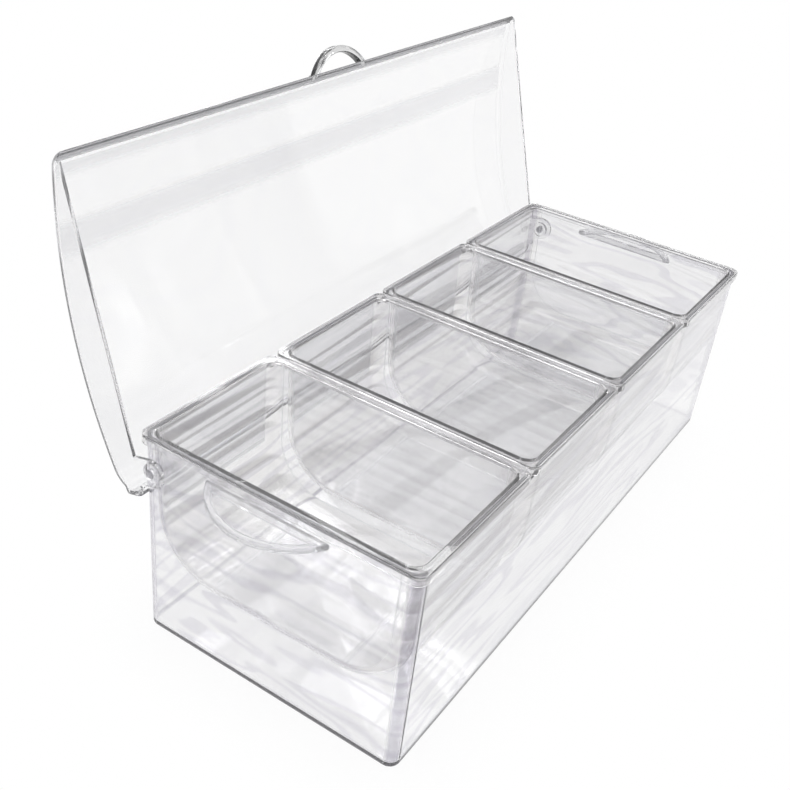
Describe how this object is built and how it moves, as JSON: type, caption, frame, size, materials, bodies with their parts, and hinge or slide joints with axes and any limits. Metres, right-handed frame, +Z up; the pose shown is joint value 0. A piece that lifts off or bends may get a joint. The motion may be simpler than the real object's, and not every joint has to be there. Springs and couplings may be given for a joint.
{
  "type": "condiment caddy",
  "caption": "Clear chilled condiment server: a row of lift-out rimmed trays over an ice bin, one domed lid hinged at the rear with a half-ring pull, and a D-shaped handle at each end.",
  "frame": {"origin": "middle of the bin's underside, on the surface it stands on", "axes": "+X along the row of trays, +Y towards the hinge at the rear, +Z up; the user stands at -Y"},
  "size_m": [0.4276, 0.2005, 0.25],
  "materials": {
    "clear_plastic": "clear, polished"
  },
  "bodies": {
    "bin_body": {"bin": "clear_plastic", "end_handle_left": "clear_plastic", "end_handle_right": "clear_plastic", "hinge_pin_left": "clear_plastic", "hinge_pin_right": "clear_plastic"},
    "lid_body": {"lid": "clear_plastic", "lid_pull": "clear_plastic"},
    "tray_1_body": {"tray_1": "clear_plastic"},
    "tray_2_body": {"tray_2": "clear_plastic"},
    "tray_3_body": {"tray_3": "clear_plastic"},
    "tray_4_body": {"tray_4": "clear_plastic"}
  },
  "joints": [
    {"name": "lid_hinge", "type": "hinge", "parent": "bin_body", "child": "lid_body", "pos_m": [0, 0.067, 0.1005], "axis": [-1, 0, 0], "range_deg": [-102.2, 0]},
    {"name": "tray_1_lift", "type": "slide", "parent": "bin_body", "child": "tray_1_body", "axis": [0, 0, 1], "range_m": [0, 0.1]},
    {"name": "tray_2_lift", "type": "slide", "parent": "bin_body", "child": "tray_2_body", "axis": [0, 0, 1], "range_m": [0, 0.1]},
    {"name": "tray_3_lift", "type": "slide", "parent": "bin_body", "child": "tray_3_body", "axis": [0, 0, 1], "range_m": [0, 0.1]},
    {"name": "tray_4_lift", "type": "slide", "parent": "bin_body", "child": "tray_4_body", "axis": [0, 0, 1], "range_m": [0, 0.1]}
  ]
}
